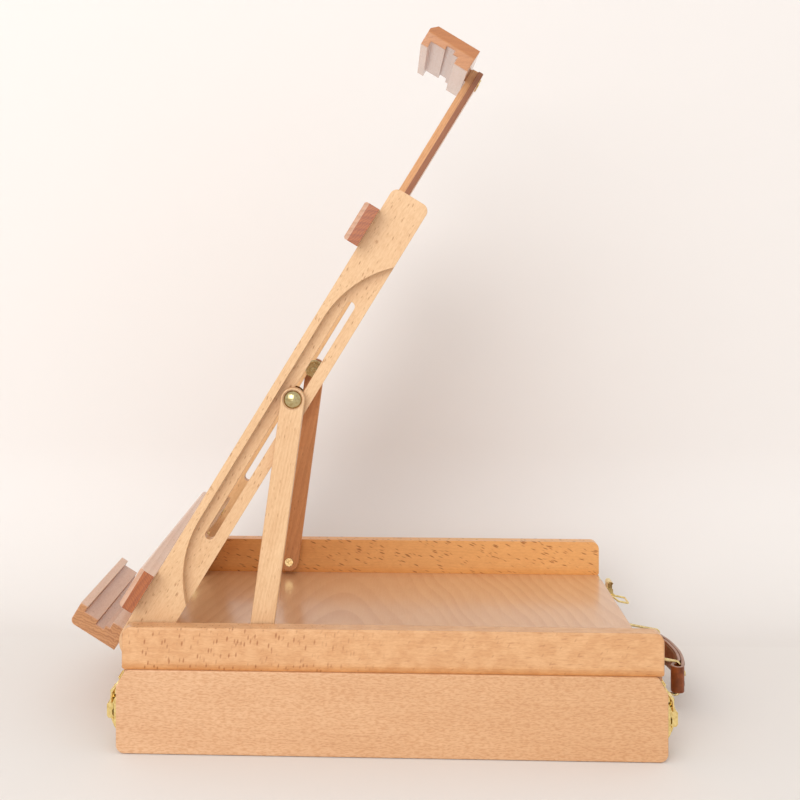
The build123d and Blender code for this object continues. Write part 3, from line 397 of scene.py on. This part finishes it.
def thread(name, colour=(0.30, 0.17, 0.09)):
    """Waxed, twisted sewing thread."""
    k = Mat(name)
    mm = k.vec("SCALE", k.at.outputs["Object"], scale=1000.0)
    w = k.new("ShaderNodeTexWave", wave_type="BANDS", bands_direction="DIAGONAL")
    k.put(w.inputs["Vector"], mm)
    k.put(w.inputs["Scale"], 1.6)
    n = k.noise(mm, 3.0, 2.0)
    col = k.mix(k.math("MULTIPLY", w.outputs["Fac"], 0.5), colour, tuple(x * 0.45 for x in colour))
    col = k.mix(k.span(n, 0.4, 0.7, 0.0, 0.35), col, tuple(x * 1.4 for x in colour))
    return k.set(Base_Color=col, Roughness=k.math("ADD", 0.5, k.math("MULTIPLY", n, 0.2)),
                 Normal=k.bump(w.outputs["Fac"], 0.4, 0.00008))


def paint(mat, *names):
    for n in names:
        o = NODES[n]
        for s in o.material_slots:
            s.material = mat


BEECH = (0.735, 0.446, 0.254)
RAIL = (0.750, 0.436, 0.222)
FARRAIL = (0.840, 0.445, 0.160)
FRAME = (0.765, 0.505, 0.285)
# RED is pale pink: partly the red wood's side grain, partly a painted reflection of the pale surroundings that
# its long faces show at grazing angles
RED = (0.740, 0.490, 0.350)
REDEND = (0.410, 0.110, 0.018)
DIM, DEEP, SOFT = (0.62, 0.47, 0.36), (0.46, 0.31, 0.20), (0.78, 0.66, 0.56)

# layers of ray flecks
short = (3.6, 1.0, 3.0, 0, 0.10, 0.32, 0.45, 0.34, SOFT, None)

paint(wood("beech_near_board", Y, Z, BEECH, seed=1, pith=(-20, 220), ring=3.2, ring_amount=0.07,
           weave=(3.6, 0.90, 0.9), weave_amount=0.68, wander=9.0,
           shade_ramp=(-180.0, 190.0, (0.955, 0.915, 0.84)),
           dashes=(short, (5.5, 1.3, 3.0, 6, 0.10, 0.30, 0.22, 0.30, DIM, None))),
      "side_board_right")
paint(wood("beech_far_board", Y, Z, BEECH, seed=2, pith=(-20, -260), ring=3.0, ring_amount=0.08,
           weave_amount=0.5, dashes=(short,)),
      "side_board_left")
paint(wood("beech_end_walls", X, Z, BEECH, seed=3, pith=(-10, 180), ring=3.0, ring_amount=0.09,
           weave_amount=0.5, dashes=(short,)),
      "front_wall", "back_wall")
paint(wood("beech_near_rail", Y, Z, RAIL, seed=4, pith=(-10, 90), ring=2.6, ring_amount=0.10,
           weave_amount=0.36, mottle_amount=0.46, shade_ramp=(-120.0, 190.0, (0.97, 0.955, 0.92)),
           bevel_shade_tint=(69.5, 61.5, (0.975, 0.86, 0.67)),
           dashes=((2.5, 7.0, 3.0, -8, 0.10, 0.38, 0.80, 1.00, DIM, (-90.0, 30.0, 1.0, 0.0)),
                   (2.6, 6.5, 3.0, -34, 0.10, 0.34, 0.24, 0.42, DIM, (-170.0, -60.0, 0.0, 1.0)),
                   (9.5, 1.6, 3.0, 6, 0.10, 0.34, 0.42, 0.46, DIM, (-80.0, 40.0, 0.0, 1.0)))),
      "lid_rail_right")
paint(wood("beech_far_rail", Y, Z, FARRAIL, seed=5, pith=(-10, -150), ring=2.8, ring_amount=0.10,
           shade_ramp=(40.0, -110.0, (1.0, 0.90, 0.78)),
           weave_amount=0.28, mottle_amount=0.20, bevel_shade_tint=(69.5, 61.5, (0.975, 0.86, 0.67)),
           dashes=((11.0, 2.1, 4.0, -20, 0.12, 0.34, 0.62, 0.95, DEEP, None),
                   (8.0, 2.0, 4.0, -26, 0.12, 0.34, 0.50, 0.85, DIM, None))),
      "lid_rail_left")
paint(wood("beech_near_member", U, V, FRAME, seed=6, pith=(-10, 120), ring=2.6, ring_amount=0.09,
           weave_amount=0.34, mottle_amount=0.14,
           dashes=((7.0, 1.9, 4.0, 7, 0.10, 0.33, 0.44, 0.85, DIM, None),
                   (5.0, 1.6, 4.0, -4, 0.10, 0.32, 0.36, 0.65, DIM, None))),
      "easel_member_right")
paint(wood("beech_far_member", U, V, (0.810, 0.505, 0.255), seed=7, pith=(12, -110), ring=2.6, ring_amount=0.09,
           weave_amount=0.34, mottle_amount=0.14,
           dashes=((7.0, 1.9, 4.0, 7, 0.10, 0.33, 0.44, 0.85, DIM, None),)),
      "easel_member_left")
paint(wood("beech_struts", AU, AV, FRAME, seed=8, pith=(-4, 70), ring=2.2, ring_amount=0.16,
           weave_amount=0.30, fibre_amount=0.25, mottle_amount=0.12,
           dashes=((6.5, 1.7, 4.0, 5, 0.10, 0.32, 0.34, 0.65, DIM, None),)),
      "arm_right")
paint(wood("beech_far_strut", AU, AV, (0.705, 0.330, 0.135), seed=18, pith=(-4, 70), ring=2.6, ring_amount=0.22,
           weave_amount=0.30, fibre_amount=0.25, mottle_amount=0.16,
           dashes=((6.5, 1.7, 4.0, 5, 0.10, 0.32, 0.34, 0.65, DIM, None),)),
      "arm_left")
paint(wood("beech_guides", U, X, FRAME, seed=9, pith=(5, 60), ring=2.2, ring_amount=0.14, dashes=(short,)),
      "mast_guide_right", "mast_guide_left", "mast_keeper")
paint(wood("red_rails", X, U, RED, seed=10, pith=(-16, 46), ring=4.6, ring_amount=0.34, wander=3.0,
           dashes=((7.0, 1.4, 3.0, 2, 0.08, 0.28, 0.34, 0.5, DIM, None),), rough=0.36, coat=1.0,
           coat_rough=0.22, end_colour=REDEND, edge_highlight_amount=0.6, edge_highlight_tint=(1.16, 1.20, 1.24),
           ring2=((260.0, 60.0), 1.7, 0.75)),
      "cross_rail_lower", "cross_rail_upper")
# GRIP is pale in the same way: partly side grain, partly painted reflection
GRIP = (0.745, 0.470, 0.320)
paint(wood("red_ledge", X, U, GRIP, seed=11, pith=(-260, 200), ring=5.2, ring_amount=0.20,
           wander=3.0, dashes=((7.0, 1.4, 3.0, 2, 0.08, 0.28, 0.34, 0.5, DIM, None),), rough=0.36,
           coat=1.0, coat_rough=0.22, end_colour=(0.540, 0.255, 0.098), edge_highlight_amount=0.6,
           edge_highlight_tint=(1.16, 1.20, 1.24), ring2=((-300.0, 200.0), 2.4, 0.62),
           groove_shade=(U, -53.2, -55.6, -62.9, -64.4, (0.84, 0.70, 0.58))),
      "canvas_ledge")
# the holder's pale colour is partly painted reflection, like RED
paint(wood("red_holder", X, U, (0.690, 0.425, 0.285), seed=17, pith=(680, 320), ring=5.2, ring_amount=0.12,
           wander=3.0, dashes=((7.0, 1.4, 3.0, 2, 0.08, 0.28, 0.34, 0.5, DIM, None),), rough=0.36,
           coat=1.0, coat_rough=0.22, end_colour=(0.525, 0.215, 0.070), edge_highlight_amount=0.6,
           edge_highlight_tint=(1.16, 1.20, 1.24), slope_tint=(0.90, 0.70, 0.42), ring2=((680.0, 420.0), 2.6, 0.30),
           groove_shade=(U, 465.2, 468.0, 474.6, 476.6, (0.86, 0.74, 0.64))),
      "canvas_holder_upper", "holder_packer")
paint(wood("red_block", X, U, RED, seed=12, pith=(-30, -50), ring=2.1, ring_amount=0.25, coat=0.8,
           dashes=(short,), end_colour=REDEND),
      "mast_clamp_block")
paint(wood("mast_wood", U, X, (0.735, 0.405, 0.170), seed=13, pith=(4, -38), ring=2.0,
           ring_amount=0.30, fibre_amount=0.4, coat=0.6, side_shade=(V, 207.9, 207.2, (0.42, 0.24, 0.13)),
           dashes=((7.0, 1.3, 1.3, 0, 0.08, 0.28, 0.4, 0.5, DIM, None),)),
      "mast")
paint(wood("panel_veneer", X, Y, (0.705, 0.405, 0.206), seed=14, pith=(-40, 30), ring=11.0,
           ring_amount=0.30, wander=14.0, slope=-0.20, weave=(6.0, 1.2, 1.2), weave_amount=0.12,
           fibre_amount=0.10, mottle_amount=0.08, rough=0.42, coat=1.0, coat_rough=0.20, bump=0.02,
           specular=0.5),
      "lid_panel")
paint(wood("ply", Y, X, (0.700, 0.440, 0.260), seed=15, pith=(0, 30), ring=6.0, ring_amount=0.15,
           wander=30.0, slope=0.06, rough=0.6, coat=0.0),
      "base_panel", "divider_long")
paint(wood("ply_cross", X, Z, (0.700, 0.440, 0.260), seed=16, pith=(0, 30), ring=6.0,
           ring_amount=0.15, wander=30.0, slope=0.06, rough=0.6, coat=0.0),
      "divider_cross")

brass_a = brass("brass", 0)
# latch brass: lower roughness for more contrast, and a paler colour that is painted light, lifting the far catch
# that sits in shade
brass_b = brass("brass_latches", 3, colour=(0.95, 0.77, 0.35), rough=0.12)
# darker brass on the domed lock heads: painted reflection of the darker surroundings the domes would mirror
brass_dark_reflection = brass("brass_domes", 5, colour=(0.54, 0.45, 0.245), rough=0.14)
for n, o in NODES.items():
    if n.startswith(("latch_",)):
        paint(brass_b, n)
    elif n.startswith("lock_"):
        paint(brass_dark_reflection, n)
    elif n.startswith(("handle_br", "handle_ring", "strap_rivets")) or n.endswith(("screws", "washers", "knob")):
        paint(brass_a, n)
leather_m = leather("strap_leather")
thread_m = thread("strap_thread")


# ---------------------------------------------------------------- leather strap
def mesh_object(name, verts, faces, mat, body, smooth=True, angle=None):
    me = bpy.data.meshes.new(name)
    me.from_pydata(verts, [], faces)
    me.validate()
    bm = bmesh.new()
    bm.from_mesh(me)
    bmesh.ops.recalc_face_normals(bm, faces=bm.faces)
    bm.to_mesh(me)
    bm.free()
    for p in me.polygons:
        p.use_smooth = smooth
    o = bpy.data.objects.new(name, me)
    scene.collection.objects.link(o)
    me.materials.append(mat)
    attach(o, body)
    return o


def arc3(p, q, r, n):
    """n points from p to r through q on a circle, in the XY plane."""
    ax, ay = p
    bx, by = q
    cx, cy = r
    d = 2 * (ax * (by - cy) + bx * (cy - ay) + cx * (ay - by))
    ux = ((ax**2 + ay**2) * (by - cy) + (bx**2 + by**2) * (cy - ay) + (cx**2 + cy**2) * (ay - by)) / d
    uy = ((ax**2 + ay**2) * (cx - bx) + (bx**2 + by**2) * (ax - cx) + (cx**2 + cy**2) * (bx - ax)) / d
    rr = math.hypot(ax - ux, ay - uy)
    t0, t1, t2 = (math.atan2(y - uy, x - ux) for x, y in (p, q, r))
    while t1 - t0 > math.pi:
        t1 -= 2 * math.pi
    while t1 - t0 < -math.pi:
        t1 += 2 * math.pi
    while t2 - t1 > math.pi:
        t2 -= 2 * math.pi
    while t2 - t1 < -math.pi:
        t2 += 2 * math.pi
    return [(ux + rr * math.cos(t0 + (t2 - t0) * i / (n - 1)), uy + rr * math.sin(t0 + (t2 - t0) * i / (n - 1)))
            for i in range(n)]


STRAP_LOW, STRAP_HIGH = 13.0, 34.4
LEATHER_T = 2.65
# middle line of the leather, closed: outer side, round a ring, inner side, round the other ring
h = LEATHER_T / 2
outer = arc3((-36.0, 237.55 - h), (0.0, 242.45 - h), (36.0, 237.55 - h), 41)
right = arc3((39.2, 236.75 - h), (39.6 + 4.1, 231.4), (38.2, 226.25 + h), 15)


def blend(p, pt, q, qt, n):
    """n points strictly between p and q, leaving along pt and arriving along qt."""
    out = []
    for i in range(1, n + 1):
        f = i / (n + 1)
        a0, a1 = 2 * f**3 - 3 * f**2 + 1, f**3 - 2 * f**2 + f
        b0, b1 = -2 * f**3 + 3 * f**2, f**3 - f**2
        out.append(tuple(a0 * p[j] + a1 * pt[j] + b0 * q[j] + b1 * qt[j] for j in (0, 1)))
    return out


belly = arc3((26.0, 234.4 + h), (0.0, 237.05 + h), (-26.0, 234.4 + h), 29)
join = blend(right[-1], (-9.0, -0.6), belly[0], (-11.0, 3.0), 7)
inner = join + belly + [(-x, y) for x, y in reversed(join)]
left = [(-x, y) for x, y in reversed(right)]
line = outer + right + inner + left


def strap_section(n_side=6, n_end=5):
    """Rounded rectangle: (across the thickness, up), in mm, about the middle."""
    w, t, r = (STRAP_HIGH - STRAP_LOW) / 2, LEATHER_T / 2, 0.75
    pts = []
    for cx, cz, a0 in ((t - r, w - r, 0), (-t + r, w - r, 90), (-t + r, -w + r, 180), (t - r, -w + r, 270)):
        for i in range(n_end):
            ang = math.radians(a0 + 90 * i / (n_end - 1))
            pts.append((cx + r * math.cos(ang), cz + r * math.sin(ang)))
    return pts


def build_strap():
    n = len(line)
    sec = strap_section()
    mid = (STRAP_LOW + STRAP_HIGH) / 2
    verts, faces = [], []
    for i, (x, y) in enumerate(line):
        px, py = line[i - 1]
        qx, qy = line[(i + 1) % n]
        tx, ty = qx - px, qy - py
        l = math.hypot(tx, ty)
        nx, ny = -ty / l, tx / l
        # the leather dishes a little between its edges and waists between the rivets
        waist = 1.0 - 0.045 * math.exp(-((abs(x) - 0.0) / 22.0) ** 2)
        for sx, sz in sec:
            dish = 0.10 * math.cos(math.pi * sz / (STRAP_HIGH - STRAP_LOW))
            verts.append(((x + nx * (sx + dish)) / 1000, (y + ny * (sx + dish)) / 1000,
                          (mid + sz * waist + 0.12 * math.sin(x * 0.21 + 1.0)) / 1000))
    m = len(sec)
    for i in range(n):
        j = (i + 1) % n
        for s in range(m):
            t = (s + 1) % m
            faces.append((i * m + s, j * m + s, j * m + t, i * m + t))
    return verts, faces


sv, sf = build_strap()
strap = mesh_object("leather_strap", sv, sf, leather_m, "handle_grip")
sub = strap.modifiers.new("smooth", "SUBSURF")
sub.levels = sub.render_levels = 1
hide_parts("handle_strap")


def capsule(p, q, r, verts, faces, n=8, caps=3):
    """A round-ended rod from p to q added to verts and faces."""
    p, q = Vector(p), Vector(q)
    d = (q - p).normalized()
    side = d.orthogonal().normalized()
    other = d.cross(side)
    rings = []
    for c, sgn in ((p, -1), (q, 1)):
        steps = range(caps) if sgn < 0 else reversed(range(caps))
        for i in steps:
            ang = math.pi / 2 * (i + 0.35) / (caps - 0.65)
            rad, off = r * math.sin(min(ang, math.pi / 2)), r * math.cos(min(ang, math.pi / 2)) * sgn
            base = len(verts)
            for j in range(n):
                t = 2 * math.pi * j / n
                verts.append(tuple(c + d * off + (side * math.cos(t) + other * math.sin(t)) * rad))
            rings.append(base)
    for a, b in zip(rings, rings[1:]):
        for j in range(n):
            k2 = (j + 1) % n
            faces.append((a + j, b + j, b + k2, a + k2))
    faces.append(tuple(reversed([rings[0] + j for j in range(n)])))
    faces.append(tuple(rings[-1] + j for j in range(n)))


# saddle stitching along both edges of the outer and inner sides
tv, tf = [], []
for side, off in ((outer, h + 0.05), (inner, h + 0.05)):
    xs = [p[0] for p in side]
    step = 3.1
    total = 0.0
    walk = [0.0]
    for p, q in zip(side, side[1:]):
        total += math.hypot(q[0] - p[0], q[1] - p[1])
        walk.append(total)

    def place(s):
        for i in range(len(walk) - 1):
            if walk[i + 1] >= s:
                f = (s - walk[i]) / (walk[i + 1] - walk[i])
                p, q = side[i], side[i + 1]
                tx, ty = q[0] - p[0], q[1] - p[1]
                l = math.hypot(tx, ty)
                # away from the other side
                sgn = 1.0 if side is outer else -1.0
                nx, ny = (-ty / l, tx / l)
                if (ny > 0) != (sgn > 0):
                    nx, ny = -nx, -ny
                return (p[0] + (q[0] - p[0]) * f + nx * off, p[1] + (q[1] - p[1]) * f + ny * off)
        return side[-1]
    count = int((total - 3.0) / step)
    for i in range(count):
        s0 = 1.5 + i * step
        a = place(s0 + 0.35)
        b = place(s0 + step - 0.35)
        for z in (STRAP_LOW + 2.5, STRAP_HIGH - 2.5):
            capsule((a[0] / 1000, a[1] / 1000, (z - 0.12) / 1000), (b[0] / 1000, b[1] / 1000, (z + 0.12) / 1000),
                    0.00033, tv, tf)
stitches = mesh_object("strap_stitching", tv, tf, thread_m, "handle_grip")

# ---------------------------------------------------------------- stage
def plain(name, colour, rough=0.85):
    k = Mat(name)
    mm = k.vec("SCALE", k.at.outputs["Object"], scale=1.0)
    n = k.noise(mm, 1.2, 3.0, 0.5)
    col = k.mix(k.span(n, 0.3, 0.7), colour, tuple(x * 0.985 for x in colour))
    m = k.set(Base_Color=col, Roughness=rough)
    k.b.inputs["Specular IOR Level"].default_value = 0.15
    return k, m


floor_k, floor_m = plain("floor_paper", (0.802, 0.766, 0.737))
wall_k, wall_m = plain("wall_paper", (0.820, 0.782, 0.760))
# the sweep starts with the colour of the floor
rise = wall_k.new("ShaderNodeSeparateXYZ")
wall_k.put(rise.inputs[0], wall_k.at.outputs["Object"])
wall_k.set(Base_Color=wall_k.mix(wall_k.span(rise.outputs[2], 0.0, 0.13), (0.790, 0.752, 0.724),
                                 (0.820, 0.782, 0.760)))
# the backdrop shows from its front only, so that it never hides the object
geo = wall_k.new("ShaderNodeNewGeometry")
see = wall_k.new("ShaderNodeBsdfTransparent")
pick = wall_k.new("ShaderNodeMixShader")
wall_k.t.links.new(geo.outputs["Backfacing"], pick.inputs[0])
wall_k.t.links.new(wall_k.b.outputs[0], pick.inputs[1])
wall_k.t.links.new(see.outputs[0], pick.inputs[2])
wall_k.t.links.new(pick.outputs[0], wall_k.out.inputs["Surface"])

me = bpy.data.meshes.new("floor")
me.from_pydata([(-6, -6, -0.0004), (6, -6, -0.0004), (6, 6, -0.0004), (-6, 6, -0.0004)], [], [(0, 1, 2, 3)])
floor = bpy.data.objects.new("floor", me)
scene.collection.objects.link(floor)
me.materials.append(floor_m)

COVE_R, WALL_X = 0.16, -0.300
prof = [(-0.140 + 0.02, -0.0003)]
for i in range(25):
    t = math.radians(90 * i / 24)
    prof.append((WALL_X + COVE_R - COVE_R * math.sin(t), COVE_R - COVE_R * math.cos(t) - 0.0003))
prof.append((WALL_X, 5.0))
bv, bf = [], []
for x, z in prof:
    bv += [(x, -6.0, z), (x, 6.0, z)]
for i in range(len(prof) - 1):
    bf.append((2 * i, 2 * i + 1, 2 * i + 3, 2 * i + 2))
me = bpy.data.meshes.new("backdrop")
me.from_pydata(bv, [], bf)
for p in me.polygons:
    p.use_smooth = True
backdrop = bpy.data.objects.new("backdrop", me)
scene.collection.objects.link(backdrop)
me.materials.append(wall_m)
me.update()
if me.polygons[-1].normal.x < 0:
    me.flip_normals()


# ---------------------------------------------------------------- light
def area(name, at, target, size, power, colour=(1, 1, 1), size_y=None, shape="DISK"):
    d = bpy.data.lights.new(name, "AREA")
    d.shape = shape
    d.size = size
    if size_y:
        d.size_y = size_y
    d.energy = power
    d.color = colour
    o = bpy.data.objects.new(name, d)
    scene.collection.objects.link(o)
    o.location = at
    o.rotation_mode = "QUATERNION"
    o.rotation_quaternion = (Vector(target) - Vector(at)).to_track_quat("-Z", "Y")
    o.visible_camera = False
    return o


target = Vector((0.0, -0.02, 0.25))
key_dir = Vector((1.0, -0.30, 0.42)).normalized()
# the backdrop throws no shadow of its own on the floor behind it
open_stage = bpy.data.collections.new("open_stage")
open_stage.objects.link(backdrop)
open_stage.collection_objects[0].light_linking.link_state = "EXCLUDE"
key = area("key", target + key_dir * 2.4, target, 1.25, 9.3, (1.0, 0.98, 0.955))
fill = area("front_fill", (3.2, -1.2, 1.6), (0, 0, 0.3), 3.2, 44.0, (1.0, 0.985, 0.97), 2.4, "RECTANGLE")

for lamp in (key, fill):
    lamp.light_linking.blocker_collection = open_stage

world = bpy.data.worlds.new("studio")
scene.world = world
world.use_nodes = True
wt = world.node_tree
wt.nodes.clear()
wout = wt.nodes.new("ShaderNodeOutputWorld")
bg = wt.nodes.new("ShaderNodeBackground")
bg.inputs["Color"].default_value = (0.99, 1.0, 0.995, 1.0)
bg.inputs["Strength"].default_value = 0.893
wt.links.new(bg.outputs[0], wout.inputs["Surface"])
